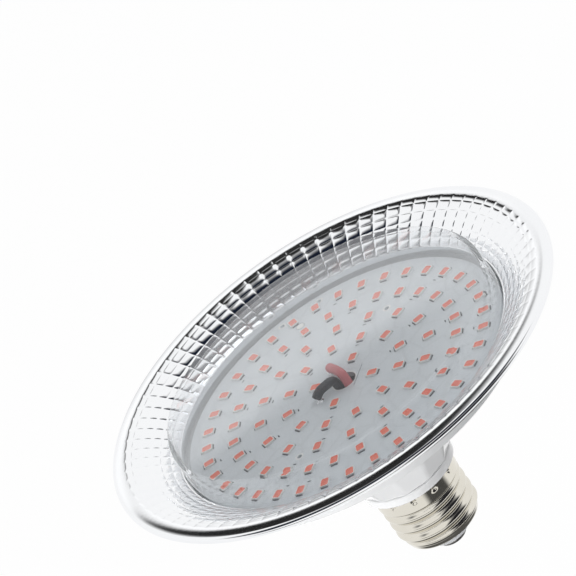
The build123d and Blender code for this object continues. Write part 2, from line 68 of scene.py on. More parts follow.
# %% [markdown]
# Most pieces of this bulb are turned: their section is the same all the way round. One helper
# spins an outline into a mesh. A second marks the edges that stay crisp, by the angle between their
# faces, so that the rest shade smoothly.

# %% Helpers for meshes
def add_object(name, data):
    """Object in the scene."""
    thing = bpy.data.objects.new(name, data)
    scene.collection.objects.link(thing)
    return thing


def finish_mesh(name, mesh_data, crisp_degrees=38):
    """Object from a bmesh, smooth apart from its sharper edges, riding on the bulb."""
    bmesh.ops.recalc_face_normals(mesh_data, faces=mesh_data.faces[:])
    for face in mesh_data.faces:
        face.smooth = True
    for edge in mesh_data.edges:
        edge.smooth = not edge.is_manifold or edge.calc_face_angle(0) < radians(crisp_degrees)
    mesh = bpy.data.meshes.new(name)
    mesh_data.to_mesh(mesh)
    mesh_data.free()
    piece = add_object(name, mesh)
    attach(piece, "root")
    return piece


def bridge(made, low, high):
    """Faces between two rings of corners that have the same count."""
    for number, corner in enumerate(low):
        after = (number + 1) % len(low)
        made.faces.new((corner, low[after], high[after], high[number]))


def grid_mesh(name, rows, closed=False, crisp_degrees=38):
    """Mesh from rings of points that all have the same count; closed joins last ring to first."""
    made = bmesh.new()
    rings = [[made.verts.new(point) for point in row] for row in rows]
    pairs = list(zip(rings, rings[1:]))
    if closed:
        pairs.append((rings[-1], rings[0]))
    for low, high in pairs:
        bridge(made, low, high)
    return finish_mesh(name, made, crisp_degrees)


def polar(radius, turn, height):
    """Point at a radius, an angle and a height."""
    return radius * cos(turn), radius * sin(turn), height


def ring(radius, height, count):
    """Points of a level circle."""
    return [polar(radius, 2 * pi * n / count, height) for n in range(count)]


def turned(name, outline, count=160, crisp_degrees=38):
    """Closed outline of (radius, height) spun about Z. A radius of 0 is kept a hair off the axis."""
    hair = 0.01 * MM
    return grid_mesh(name, [ring(max(r, hair), z, count) for r, z in outline], True, crisp_degrees)


def corner_arc(centre_r, centre_z, radius, start, end, steps=6):
    """Points of a rounded corner, in degrees from the outward direction."""
    turns = [radians(start + (end - start) * n / steps) for n in range(steps + 1)]
    return [(centre_r + radius * cos(turn), centre_z + radius * sin(turn)) for turn in turns]


def smooth_step(value, start, length):
    """Rise from 0 to 1 over a length, with soft ends."""
    share = min(max((value - start) / length, 0.0), 1.0)
    return share * share * (3 - 2 * share)


print("a ring of four", [[round(value, 2) for value in point] for point in ring(1, 0, 4)])

# %% [markdown]
# Materials are built from nodes. Four short helpers feed a socket, mix two colours, do one sum and
# blend two shaders, so that the later cells only say what goes where.

# %% Helpers for single nodes
def put(tree, value, socket):
    """Feed a socket from another node's socket, or give it a plain value."""
    if isinstance(value, bpy.types.NodeSocket):
        tree.links.new(value, socket)
    else:
        socket.default_value = value


def mix_tone(tree, mask, below, above):
    """Colour mix by a mask."""
    mix = tree.nodes.new("ShaderNodeMix")
    mix.data_type = "RGBA"
    for label, value in (("Factor", mask), ("A", below), ("B", above)):
        put(tree, value, mix.inputs[label])
    return mix.outputs["Result"]


def math_step(tree, operation, *values):
    """Output of a Math node."""
    step = tree.nodes.new("ShaderNodeMath")
    step.operation = operation
    for value, socket in zip(values, step.inputs):
        put(tree, value, socket)
    return step.outputs["Value"]


def blend_shaders(tree, share, below, above, out):
    """Mix of two shaders, by a share, into an output node."""
    mix = tree.nodes.new("ShaderNodeMixShader")
    for value, socket in ((share, mix.inputs["Fac"]), (below, mix.inputs[1]), (above, mix.inputs[2])):
        tree.links.new(value, socket)
    tree.links.new(mix.outputs["Shader"], out.inputs["Surface"])


print("node helpers ready, materials so far", len(bpy.data.materials))

# %% [markdown]
# The finishes share three effects, each built once as a node group. Grain is the fine unevenness
# that every moulded or plated surface has. Clouds are slow changes of colour over a few
# millimetres. Handling is the faint smear pattern that breaks up a gloss.

# %% Shared effect groups
FLOAT = "NodeSocketFloat"
COLOR = "NodeSocketColor"


def new_group(name, scale, inputs, output, detail):
    """Node group with named sockets and a noise texture in the object's own coordinates."""
    group = bpy.data.node_groups.new(name, "ShaderNodeTree")
    for label, kind, value in [("Scale", FLOAT, scale), *inputs]:
        socket = group.interface.new_socket(label, in_out="INPUT", socket_type=kind)
        socket.default_value = value
    label, kind = output
    group.interface.new_socket(label, in_out="OUTPUT", socket_type=kind)
    start = group.nodes.new("NodeGroupInput")
    end = group.nodes.new("NodeGroupOutput")
    where = group.nodes.new("ShaderNodeTexCoord")
    noise = group.nodes.new("ShaderNodeTexNoise")
    noise.inputs["Detail"].default_value = detail
    group.links.new(where.outputs["Object"], noise.inputs["Vector"])
    group.links.new(start.outputs["Scale"], noise.inputs["Scale"])
    return group, start, end, noise


def grain_group():
    inputs = [("Rough", FLOAT, 0.6)]
    group, start, end, noise = new_group("fine_grain", 900.0, inputs, ("Height", FLOAT), 3.0)
    group.links.new(start.outputs["Rough"], noise.inputs["Roughness"])
    group.links.new(noise.outputs["Fac"], end.inputs["Height"])
    return group


def clouds_group():
    inputs = [("Light", COLOR, (1, 1, 1, 1)), ("Dark", COLOR, (0.9, 0.9, 0.9, 1))]
    group, start, end, noise = new_group("soft_clouds", 60.0, inputs, ("Color", COLOR), 4.0)
    tone = mix_tone(group, noise.outputs["Fac"], start.outputs["Dark"], start.outputs["Light"])
    group.links.new(tone, end.inputs["Color"])
    return group


def handling_group():
    inputs = [("Low", FLOAT, 0.2), ("High", FLOAT, 0.35)]
    group, start, end, noise = new_group("handling", 35.0, inputs, ("Roughness", FLOAT), 5.0)
    noise.inputs["Distortion"].default_value = 0.6
    spread = group.nodes.new("ShaderNodeMapRange")
    link = group.links.new
    link(noise.outputs["Fac"], spread.inputs["Value"])
    link(start.outputs["Low"], spread.inputs["To Min"])
    link(start.outputs["High"], spread.inputs["To Max"])
    link(spread.outputs["Result"], end.inputs["Roughness"])
    return group


GRAIN = grain_group()
CLOUDS = clouds_group()
HANDLING = handling_group()
print("effect groups", [group.name for group in (GRAIN, CLOUDS, HANDLING)])

# %% [markdown]
# Every finish starts from the same skeleton: a Principled shader whose colour comes from the
# clouds, whose roughness comes from the handling marks, and whose bump comes from the grain.
# Each material then gives its own colours, scales and gloss.

# %% Helper for materials
def place_group(material, group, **values):
    node = material.node_tree.nodes.new("ShaderNodeGroup")
    node.node_tree = group
    for label, value in values.items():
        node.inputs[label].default_value = value
    return node


def finish_of(name, light, dark, gloss, metal=0.0, coat=0.0, cloud=60.0, grain=900.0, bump=0.05):
    """Material with clouded colour, a roughness that wanders between two values, and grain."""
    material = bpy.data.materials.new(name)
    material.use_nodes = True
    nodes = material.node_tree.nodes
    link = material.node_tree.links.new
    shader = nodes["Principled BSDF"]
    shader.inputs["Metallic"].default_value = metal
    shader.inputs["Coat Weight"].default_value = coat
    clouds = place_group(material, CLOUDS, Scale=cloud, Light=(*light, 1), Dark=(*dark, 1))
    marks = place_group(material, HANDLING, Low=gloss[0], High=gloss[1])
    fine = place_group(material, GRAIN, Scale=grain)
    relief = nodes.new("ShaderNodeBump")
    relief.inputs["Strength"].default_value = bump
    relief.inputs["Distance"].default_value = 0.1 * MM
    link(clouds.outputs["Color"], shader.inputs["Base Color"])
    link(marks.outputs["Roughness"], shader.inputs["Roughness"])
    link(fine.outputs["Height"], relief.inputs["Height"])
    link(relief.outputs["Normal"], shader.inputs["Normal"])
    return material


def cover_with(thing, material):
    """Make a material the only one of an object."""
    thing.data.materials.clear()
    thing.data.materials.append(material)


def wear(piece, material, slot):
    """Give a new piece its finish; the slot argument is not used."""
    cover_with(piece, material)


print("helpers", finish_of.__name__, cover_with.__name__, wear.__name__)

# %% [markdown]
# The shade is vacuum-metallised plastic: a mirror with a very slight haze. Its front has rings of
# small raised tiles, each a low pillow, so that every tile throws its own patch of light. A pillow
# needs a mesh of its own: bump alone would not bend the reflection where one tile ends
# and the next begins. The whole shade is one grid of points, in rings that follow its section.

# %% Sizes of the shade's tiles
TILE_COLUMNS = 84
TILE_RISE = 0.2 * MM
SHADE_SHEET = 1.2 * MM
SHADE_BAND = 0.4 * MM
ROW_STEPS = [(2.0, 37.5), (2.2, 34.5), (2.4, 30.5), (2.6, 26.0), (2.8, 20.5), (1.8, 12.5)]
COLLAR_HEIGHT = 4.3 * MM
SLIP_GAP = 0.2 * MM
LOW_RISE = TILE_RISE / 3
FLANGE_DROP = 0.1 * MM
LIP_HEIGHT = 1.5 * MM
EDGE_ROUND = 1.2 * MM
CROWN = 0.06 * MM
CROWN_REACH = 1.3 * MM
collar_r = cover_foot_r + SLIP_GAP
collar_top = ledge_top + COLLAR_HEIGHT
tile_rings = [(collar_r + SHADE_BAND, collar_top)]
for width, slope in ROW_STEPS:
    low_r, low_z = tile_rings[-1]
    tile_rings.append((low_r + width * MM, low_z + width * MM * tan(radians(slope))))
print("tile rings", [(round(r / MM, 1), round(z / MM, 1)) for r, z in tile_rings])

# %% The shade's mesh
TILE_SHARES = [0, 0.035, 0.09, 0.2, 0.5, 0.8, 0.91, 0.965]
ALONG_POWER = 2.0
ACROSS_POWER = 6.0


def pillow(share, power):
    """Height of a tile from 0 at its edge to 1 at its middle; a high power keeps it flat."""
    return 1 - abs(2 * share - 1) ** power


def tile_row_points(low, high, share, top_rise):
    """One ring of points across a row of tiles, raised along the row's normal."""
    radius = low[0] + (high[0] - low[0]) * share
    height = low[1] + (high[1] - low[1]) * share
    length = hypot(high[0] - low[0], high[1] - low[1])
    out = -(high[1] - low[1]) / length
    up = (high[0] - low[0]) / length
    side = 2 * pi / TILE_COLUMNS
    points = []
    for column in range(TILE_COLUMNS):
        for across in TILE_SHARES:
            chord = cos(side / 2) / cos((across - 0.5) * side)
            rise = top_rise * pillow(share, ALONG_POWER) * pillow(across, ACROSS_POWER)
            r = radius * chord + out * rise
            points.append(polar(r, (column + across) * side, height + up * rise))
    return points


def shade_rows():
    """Rings of the tiles, then over the flange and the lip and back under them to the collar."""
    rows = []
    for low, high in zip(tile_rings, tile_rings[1:]):
        rise = TILE_RISE if high[1] < tile_rings[-1][1] else LOW_RISE
        rows += [tile_row_points(low, high, share, rise) for share in TILE_SHARES]
    rows.append(tile_row_points(tile_rings[-2], tile_rings[-1], 1.0, 0.0))
    top_r, top_z = tile_rings[-1]
    slope_r, slope_z = tile_rings[-2]
    edge_z = top_z - FLANGE_DROP
    outline = [(top_r + SHADE_BAND, top_z), (top_r + SHADE_BAND + CROWN_REACH, top_z + CROWN)]
    outline += corner_arc(shade_r - EDGE_ROUND, edge_z - EDGE_ROUND, EDGE_ROUND, 84, 0, 12)
    outline += [
        (shade_r, edge_z - LIP_HEIGHT),
        (shade_r - SHADE_SHEET, edge_z - LIP_HEIGHT),
        (shade_r - SHADE_SHEET, edge_z - SHADE_SHEET),
        (top_r + SHADE_SHEET / 2, top_z - SHADE_SHEET),
        (slope_r + SHADE_SHEET / 2, slope_z - SHADE_SHEET),
        (collar_r + SHADE_SHEET, collar_top - SHADE_SHEET / 2),
        (collar_r + SHADE_SHEET, ledge_top),
        (collar_r, ledge_top),
        (collar_r, collar_top),
    ]
    side = 2 * pi / TILE_COLUMNS
    turns = [(column + share) * side for column in range(TILE_COLUMNS) for share in TILE_SHARES]
    return rows + [[polar(r, turn, z) for turn in turns] for r, z in outline]


shade = grid_mesh("silver_shade", shade_rows(), True, 24)
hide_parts("reflector_shade")
silver = finish_of(
    "metallised_silver", (0.93, 0.94, 0.95), (0.89, 0.90, 0.92), (0.05, 0.11), 1.0, 0.0, 40.0, 700.0, 0.03
)
wear(shade, silver, "shade_silver")
print("shade faces", len(shade.data.polygons))

# %% [markdown]
# The cover is a clear polished cup. Light must reach the board through it, and a path tracer
# would shade the board under solid glass. So its shadow rays pass a transparent shader.
# A thin wall hardly bends what lies behind it: the Principled shader has a refractive index near
# 1 and takes its gloss from a coat. A small share that isn't clear makes the plastic faintly milky.

# %% The clear cover
COVER_WALL = 1.2 * MM
COVER_DRAFT = 0.7 * MM
COVER_ROUND = 1.2 * MM
COVER_INNER_ROUND = 0.5 * MM
COVER_STEPS = 256
CLEAR_SHARE = 0.95
THIN_WALL_IOR = 1.02
COAT_IOR = 1.45
cover_r = cover_foot_r - COVER_DRAFT
cover_outline = [(0.0, cover_top - COVER_WALL)]
inner_r, inner_z = [size - COVER_WALL - COVER_INNER_ROUND for size in (cover_r, cover_top)]
cover_outline += corner_arc(inner_r, inner_z, COVER_INNER_ROUND, 90, 0, 5)
cover_outline += [(cover_foot_r - COVER_WALL, ledge_top), (cover_foot_r, ledge_top)]
cover_outline += corner_arc(cover_r - COVER_ROUND, cover_top - COVER_ROUND, COVER_ROUND, 2, 90, 10)
cover_outline += [(0.0, cover_top)]
cover = turned("clear_cup", cover_outline, COVER_STEPS, 50)
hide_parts("clear_cover")


def clear_finish():
    material = finish_of(
        "clear_plastic", (0.985, 0.99, 1.0), (0.97, 0.98, 0.99), (0.0, 0.03), 0.0, 1.0, 20.0, 60.0, 0.008
    )
    tree = material.node_tree
    shader = tree.nodes["Principled BSDF"]
    shader.inputs["Transmission Weight"].default_value = CLEAR_SHARE
    shader.inputs["IOR"].default_value = THIN_WALL_IOR
    shader.inputs["Coat IOR"].default_value = COAT_IOR
    ray = tree.nodes.new("ShaderNodeLightPath").outputs
    passing = math_step(tree, "MAXIMUM", ray["Is Shadow Ray"], ray["Is Diffuse Ray"])
    open_air = tree.nodes.new("ShaderNodeBsdfTransparent")
    open_air.inputs["Color"].default_value = (0.97, 0.98, 0.98, 1)
    blend_shaders(
        tree, passing, shader.outputs["BSDF"], open_air.outputs["BSDF"], tree.nodes["Material Output"]
    )
    return material


wear(cover, clear_finish(), "cover_clear")
print("cover faces", len(cover.data.polygons))

# %% [markdown]
# Each light chip is a white moulded frame, about 3.5 by 2.8 mm, with a rounded well full of
# orange-pink silicone and a tinned terminal at each end. The chips all lie with their length
# along the radius. One chip is drawn as a small mesh, and copied to each place on its ring.

# %% Helpers for the chips
CHIP_RINGS = [(45.0, 36), (36.3, 28), (27.5, 16), (18.6, 12), (9.66, 4)]
CHIP_LENGTH = 3.5 * MM
CHIP_WIDTH = 2.8 * MM
CHIP_HEIGHT = 0.7 * MM
CHIP_RIM = 0.24 * MM
CHIP_FLOOR = 0.2 * MM


def rounded_box_ring(half_x, half_y, corner, height, steps=4):
    """Ring of points round a rectangle with rounded corners."""
    points = []
    for side_x, side_y, start in ((1, 1, 0), (-1, 1, 90), (-1, -1, 180), (1, -1, 270)):
        for step in range(steps + 1):
            turn = radians(start + 90 * step / steps)
            x = side_x * (half_x - corner) + corner * cos(turn)
            y = side_y * (half_y - corner) + corner * sin(turn)
            points.append(Vector((x, y, height)))
    return points


def chip_places():
    """A placement for each chip, ring by ring, with its length along the radius."""
    for radius, count in CHIP_RINGS:
        for number in range(count):
            turn = Matrix.Rotation(2 * pi * number / count, 4, "Z")
            yield turn @ Matrix.Translation((radius * MM, 0, board_top))


def stack(made, place, rings):
    """Stack of rings set at a place and closed at both ends."""
    rows = [[made.verts.new(place @ point) for point in row] for row in rings]
    for low, high in zip(rows, rows[1:]):
        bridge(made, low, high)
    made.faces.new(rows[-1])
    made.faces.new(rows[0])


def copies(name, rings, places):
    """Mesh with one stack of rings at each place."""
    made = bmesh.new()
    for place in places:
        stack(made, place, rings)
    return finish_mesh(name, made, 30)


def chip_frame_rings():
    """Section of the frame: outside wall, rounded top rim, well wall and well floor."""
    soft = 0.08 * MM
    section = [
        (soft, 0.2 * MM, 0),
        (0, 0.25 * MM, 0.15 * MM),
        (0, 0.25 * MM, CHIP_HEIGHT - soft),
        (soft, 0.22 * MM, CHIP_HEIGHT),
        (CHIP_RIM - soft, 0.5 * MM, CHIP_HEIGHT),
        (CHIP_RIM, 0.5 * MM, CHIP_HEIGHT - soft),
        (CHIP_RIM + soft, 0.45 * MM, CHIP_FLOOR),
    ]
    return [
        rounded_box_ring(CHIP_LENGTH / 2 - inset, CHIP_WIDTH / 2 - inset, corner, height)
        for inset, corner, height in section
    ]


def chip_phosphor_rings():
    """Silicone filling: it stands at the rim and sinks a little to its middle."""
    well_x, well_y = CHIP_LENGTH / 2 - CHIP_RIM, CHIP_WIDTH / 2 - CHIP_RIM
    rim_z = CHIP_HEIGHT - 0.06 * MM
    return [
        rounded_box_ring(well_x - 0.03 * MM, well_y - 0.03 * MM, 0.46 * MM, CHIP_FLOOR + 0.02 * MM),
        rounded_box_ring(well_x - 0.03 * MM, well_y - 0.03 * MM, 0.46 * MM, rim_z),
        rounded_box_ring(well_x * 0.8, well_y * 0.8, 0.4 * MM, rim_z - 0.05 * MM),
        rounded_box_ring(well_x * 0.4, well_y * 0.4, 0.2 * MM, rim_z - 0.07 * MM),
    ]


# %% Chip frames, fillings and terminals
chip_frames = copies("chip_frames_rounded", chip_frame_rings(), chip_places())
chip_fillings = copies("chip_fillings", chip_phosphor_rings(), chip_places())
TERMINAL_REACH = 0.34 * MM
TERMINAL_HALF = 1.05 * MM
terminal_rings = [
    rounded_box_ring(TERMINAL_REACH / 2, TERMINAL_HALF, 0.05 * MM, 0.0),
    rounded_box_ring(TERMINAL_REACH / 2, TERMINAL_HALF, 0.05 * MM, 0.12 * MM),
    rounded_box_ring(TERMINAL_REACH / 4, TERMINAL_HALF - 0.06 * MM, 0.05 * MM, 0.3 * MM),
]
terminal_places = [
    place @ Matrix.Translation((side * (CHIP_LENGTH + TERMINAL_REACH) / 2, 0, 0))
    for place in chip_places()
    for side in (-1, 1)
]
chip_ends = copies("chip_ends", terminal_rings, terminal_places)
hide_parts("chip_frames")
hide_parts("chip_phosphors")
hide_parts("chip_terminals")
print("chips", sum(count for radius, count in CHIP_RINGS))

# %% [markdown]
# The frames are white plastic. The filling is salmon orange, and the clouds make each chip a
# little different from its neighbour, as real ones are. The terminals are tin, with their colour
# darkened as painted shade, so they look dark between the white frame and the pale board.

# %% Finishes of the chips
white_package = finish_of("chip_package_white", (0.86, 0.85, 0.83), (0.80, 0.79, 0.77), (0.35, 0.5))
salmon = finish_of(
    "salmon_silicone", (0.92, 0.22, 0.14), (0.84, 0.16, 0.10), (0.25, 0.4), 0.0, 0.0, 180.0, 2500.0, 0.08
)
# Tin whose colour is darkened as painted shade; the driver's legs share it.
tin_darkened_as_shade = finish_of("tin_darkened_as_shade", (0.30, 0.30, 0.31), (0.12, 0.12, 0.13), (0.3, 0.5), 1.0, 0.0, 400.0)
wear(chip_frames, white_package, "chip_white")
wear(chip_fillings, salmon, "chip_phosphor")
wear(chip_ends, tin_darkened_as_shade, "tinned_metal")
print("chip finishes", white_package.name, salmon.name, tin_darkened_as_shade.name)

# %% [markdown]
# The board is aluminium under a pale blue-grey mask. Its own solid has the right outline and
# holes, so it stays and only gets a finish. White rings round the holes and small dark ticks
# beside some chips are print: they are thin flat meshes laid on the mask.

# %% The board's mask
def mask_finish():
    """Pale mask, with a faint darker net where the copper areas under it part."""
    material = finish_of(
        "pale_board_mask", (0.70, 0.73, 0.76), (0.665, 0.695, 0.725), (0.3, 0.42), cloud=45.0, grain=1500.0,
        bump=0.03,
    )
    nodes = material.node_tree.nodes
    link = material.node_tree.links.new
    shader = nodes["Principled BSDF"]
    tint = shader.inputs["Base Color"].links[0].from_socket
    where = nodes.new("ShaderNodeTexCoord")
    patches = nodes.new("ShaderNodeTexVoronoi")
    patches.feature = "DISTANCE_TO_EDGE"
    patches.inputs["Scale"].default_value = 110.0
    edges = nodes.new("ShaderNodeMapRange")
    edges.inputs["From Max"].default_value = 0.06
    edges.inputs["To Min"].default_value = 0.93
    edges.inputs["To Max"].default_value = 1.0
    link(where.outputs["Object"], patches.inputs["Vector"])
    link(patches.outputs["Distance"], edges.inputs["Value"])
    shaded = mix_tone(material.node_tree, 1.0, tint, edges.outputs["Result"])
    shaded.node.blend_type = "MULTIPLY"
    link(shaded, shader.inputs["Base Color"])
    return material


cover_with(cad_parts["light_board"], mask_finish())
print("board finish on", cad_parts["light_board"].name)

# %% Print and pads on the board
HOLES = [(48.0, 208.0, 0.75), (48.0, 223.6, 0.75), (30.1, -10.8, 0.75), (29.9, 169.7, 0.75)]
PRINT_LIFT = 0.02 * MM
PRINT_THICK = 0.03 * MM
PAD_INNER = 0.1
PAD_OUTER = 0.55
CENTRE_RING = (3.65 * MM, 4.0 * MM)
WHITE_SPOT = (41.4, 218.7)


def ring_band(made, place, inner, outer, count=28):
    """Flat ring with a thickness, round a place on the board."""
    rows = []
    for radius, height in ((inner, 0), (outer, 0), (outer, PRINT_THICK), (inner, PRINT_THICK)):
        rows.append([made.verts.new(place @ Vector(point)) for point in ring(radius, height, count)])
    for low, high in zip(rows, rows[1:] + rows[:1]):
        bridge(made, low, high)


def on_board(radius_mm, degrees):
    """Placement just above the board's face."""
    turn = Matrix.Rotation(radians(degrees), 4, "Z")
    return turn @ Matrix.Translation((radius_mm * MM, 0, board_top + PRINT_LIFT))


pads_mesh = bmesh.new()
for radius, degrees, hole in HOLES:
    ring_band(pads_mesh, on_board(radius, degrees), (hole + PAD_INNER) * MM, (hole + PAD_OUTER) * MM)
ring_band(pads_mesh, on_board(0, 0), *CENTRE_RING, 64)
ring_band(pads_mesh, on_board(*WHITE_SPOT), 0.1 * MM, 1.3 * MM)
board_pads = finish_mesh("board_white_rings", pads_mesh)
wear(board_pads, white_package, "chip_white")


def tick(made, place, length, width):
    """Small flat bar of print."""
    faces = [rounded_box_ring(length / 2, width / 2, width / 4, z, 2) for z in (0, PRINT_THICK)]
    stack(made, place, faces)


ticks_mesh = bmesh.new()
TICK_STEPS = [(41.6, 36, 5), (33.2, 28, 3), (24.4, 16, 2), (15.4, 12, 2)]
TICK_SIZE = (0.4 * MM, 1.2 * MM)
LINE_PLACE = (-1.2 * MM, 4.25 * MM, board_top + PRINT_LIFT)
LINE_SIZE = (9.0 * MM, 0.16 * MM)
for radius, count, every in TICK_STEPS:
    for number in range(0, count, every):
        tick(ticks_mesh, on_board(radius, 360 * number / count + 2), *TICK_SIZE)
tick(ticks_mesh, Matrix.Translation(LINE_PLACE), *LINE_SIZE)
ring_band(ticks_mesh, on_board(*WHITE_SPOT), 1.34 * MM, 1.46 * MM)
board_print = finish_mesh("board_grey_print", ticks_mesh)
grey_print = finish_of("grey_print", (0.25, 0.27, 0.30), (0.16, 0.18, 0.20), (0.4, 0.6), cloud=300.0)
wear(board_print, grey_print, "chip_epoxy")
print("print pieces", board_pads.name, board_print.name)

# %% [markdown]
# Two thick soft leads come up through the board's hole, bend over and end at their solder
# joints. A lead is drawn as a curve with a round bevel along a few points, then kept
# as a mesh with its ends closed. Short runs and wide bends keep it looking soft.

# %% The leads
def lead_mesh(name, points, radius):
    """Tube along a smooth curve through the route, closed at both ends."""
    curve = bpy.data.curves.new(name + "_route", "CURVE")
    curve.dimensions = "3D"
    curve.bevel_depth = radius
    curve.bevel_resolution = 8
    curve.use_fill_caps = True
    spline = curve.splines.new("NURBS")
    spline.points.add(len(points) - 1)
    for place, point in zip(spline.points, points):
        place.co = (*point, 1)
    spline.order_u = 3
    spline.use_endpoint_u = True
    spline.resolution_u = 16
    route = bpy.data.objects.new(name + "_route", curve)
    mesh = bpy.data.meshes.new_from_object(route)
    mesh.name = name
    bpy.data.objects.remove(route)
    piece = add_object(name, mesh)
    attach(piece, "root")
    for face in mesh.polygons:
        face.use_smooth = len(face.vertices) == 4
    return piece


LEAD_R = 1.38 * MM
red_route = [
    (1.4, 2.3, 44.0), (1.4, 2.3, 51.0), (1.35, 1.9, 58.0), (1.45, 1.75, 63.4),
    (1.6, 2.0, 66.6), (-1.6, -1.5, 66.1), (-3.6, -3.7, 65.3), (-5.0, -5.3, 64.9),
]
black_route = [
    (1.75, -2.3, 44.0), (1.75, -2.3, 51.0), (1.7, -1.6, 58.0), (1.6, -1.35, 63.0),
    (2.0, -1.7, 65.6), (4.0, -3.5, 65.7), (5.9, -5.3, 65.6), (6.8, -6.4, 64.3),
]
red_lead = lead_mesh("red_soft_lead", [Vector(point) * MM for point in red_route], LEAD_R)
black_lead = lead_mesh("black_soft_lead", [Vector(point) * MM for point in black_route], LEAD_R)
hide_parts("red_lead")
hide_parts("black_lead")
red_soft = finish_of(
    "dull_red_silicone", (0.62, 0.17, 0.18), (0.50, 0.12, 0.13), (0.4, 0.55), 0.0, 0.0, 120.0, 1800.0, 0.1
)
black_soft = finish_of("black_silicone", (0.012, 0.014, 0.022), (0.006, 0.007, 0.012), (0.25, 0.4), bump=0.1)
wear(red_lead, red_soft, "red_silicone")
wear(black_lead, black_soft, "black_silicone")
print("lead faces", len(red_lead.data.polygons), len(black_lead.data.polygons))

# %% [markdown]
# A hand-made solder joint is a small shiny mound that wets out to a thin skirt and is never quite
# round. Rings of points with a seeded wobble give it that shape.

# %% Solder joints
SOLDER_PLACES = [(-5.6, -6.0), (6.6, -6.1)]
SOLDER_SECTION = [(1.3, 0.0), (1.2, 0.12), (0.95, 0.4), (0.7, 0.75), (0.4, 1.0), (0.12, 1.08)]
SOLDER_STEPS = 24
SOLDER_WOBBLE = 0.16
random.seed(7)
solder_mesh = bmesh.new()
for x, y in SOLDER_PLACES:
    wobble = [1 - SOLDER_WOBBLE * random.random() for _ in range(SOLDER_STEPS)]
    rows = []
    for radius, height in SOLDER_SECTION:
        row = []
        for number in range(SOLDER_STEPS):
            near = (wobble[number - 1] + wobble[number] + wobble[(number + 1) % SOLDER_STEPS]) / 3
            turn = 2 * pi * number / SOLDER_STEPS
            place = (x + radius * near * cos(turn), y + radius * near * sin(turn), board_top / MM + height)
            row.append(Vector(place) * MM)
        rows.append(row)
    stack(solder_mesh, Matrix(), rows)
solder = finish_mesh("solder_mounds", solder_mesh, 60)
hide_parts("solder_joints")
bright_solder = finish_of(
    "bright_solder", (0.72, 0.73, 0.74), (0.5, 0.51, 0.52), (0.12, 0.3), 1.0, 0.0, 500.0, 900.0, 0.3
)
wear(solder, bright_solder, "solder")
print("solder joints", len(SOLDER_PLACES))

# %% [markdown]
# The screw shell is rolled from thin sheet, so the thread shows inside and outside. Its radius
# is worked out point by point: a wave that climbs one pitch a turn, faded in and out
# at both ends, with a ring of crimp dents in the plain skirt above.

# %% The screw shell
THREAD_PITCH = 3.629 * MM
THREAD_CREST_R = 13.1 * MM
THREAD_DEPTH = 0.95 * MM
THREAD_LENGTH = 13.6 * MM
THREAD_RUN_OUT = 1.3 * MM
SHELL_SHEET = 0.35 * MM
NOSE_R = 11.7 * MM
NOSE_HEIGHT = 1.4 * MM
NECK_TURN = radians(20.3)
DENT_COUNT = 12
DENT_DEPTH = 0.6 * MM
DENT_R = 1.15 * MM
DENT_DROP = 1.7 * MM
SHELL_COLUMNS = 192
SHELL_ROWS = 130
thread_low = shell_low.z + NOSE_HEIGHT
thread_high = thread_low + THREAD_LENGTH
dent_z = shell_high.z - DENT_DROP


def shell_radius(turn, height):
    """How far out the sheet is: nose, thread, plain skirt and crimp dents."""
    fade = smooth_step(height, thread_low, THREAD_RUN_OUT)
    fade -= smooth_step(height, thread_high - THREAD_RUN_OUT, THREAD_RUN_OUT)
    climb = (height - thread_low) / THREAD_PITCH - turn / (2 * pi)
    wave = (0.5 + 0.5 * cos(2 * pi * climb)) ** 0.85
    nose = smooth_step(height, shell_low.z, NOSE_HEIGHT)
    skirt = smooth_step(height, thread_high - THREAD_RUN_OUT, THREAD_RUN_OUT)
    root = THREAD_CREST_R - THREAD_DEPTH
    radius = NOSE_R + (root - NOSE_R) * nose + (skirt_r - root) * skirt + THREAD_DEPTH * wave * fade
    beat = (turn / (2 * pi) * DENT_COUNT + 0.5) % 1 - 0.5
    away = hypot(beat * 2 * pi / DENT_COUNT * skirt_r, height - dent_z)
    return radius - DENT_DEPTH * (1 - smooth_step(away, 0, DENT_R))


def shell_wall(inward, upward):
    """Rings of one side of the sheet, from the bottom up or from the top down."""
    rows = []
    order = range(SHELL_ROWS + 1) if upward else range(SHELL_ROWS, -1, -1)
    for row in order:
        height = shell_low.z + (shell_high.z - shell_low.z) * row / SHELL_ROWS
        points = []
        for column in range(SHELL_COLUMNS):
            turn = 2 * pi * column / SHELL_COLUMNS
            points.append(polar(shell_radius(turn, height) - inward, turn + NECK_TURN, height))
        rows.append(points)
    return rows


shell = grid_mesh("rolled_screw_shell", shell_wall(0, True) + shell_wall(SHELL_SHEET, False), True, 60)
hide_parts("screw_shell")
nickel = finish_of(
    "bright_nickel", (0.80, 0.77, 0.70), (0.68, 0.65, 0.57), (0.05, 0.11), 1.0, 0.0, 90.0, 500.0, 0.05
)
wear(shell, nickel, "nickel_shell")
print("shell faces", len(shell.data.polygons))

# %% [markdown]
# The neck is moulded in white plastic. Twelve flat sides stand on a round band and flare into a
# dish. The mesh asks, for every direction and height, how far out the wall is: the flat sides
# and the dish each give an answer, and the larger one wins. The corners between the flat sides
# are softened by capping how far they reach.

# %% Sizes of the neck and dish
NECK_SIDES = 12
BAND_R = 14.9 * MM
BAND_HEIGHT = 3.0 * MM
BAND_ROUND = 0.5 * MM
FACET_R = 14.5 * MM
FACET_HEIGHT = 16.5 * MM
FACET_FLARE = 8.1 * MM
CORNER_CAP = 1.027
BLEND_HEIGHT = 2.5 * MM
HOUSING_WALL = 1.6 * MM
DISH_RISE = 13.4 * MM
DISH_SAG = 2.2 * MM
NECK_COLUMNS = 240
housing_low, housing_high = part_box("neck_housing")
rim_r = housing_high.x
facet_low = shell_high.z + BAND_HEIGHT
facet_high = facet_low + FACET_HEIGHT
dish_high = facet_high + DISH_RISE
facet_top_r = FACET_R + FACET_FLARE
print("rim radius", round(rim_r, 4), "dish top", round(dish_high, 4))


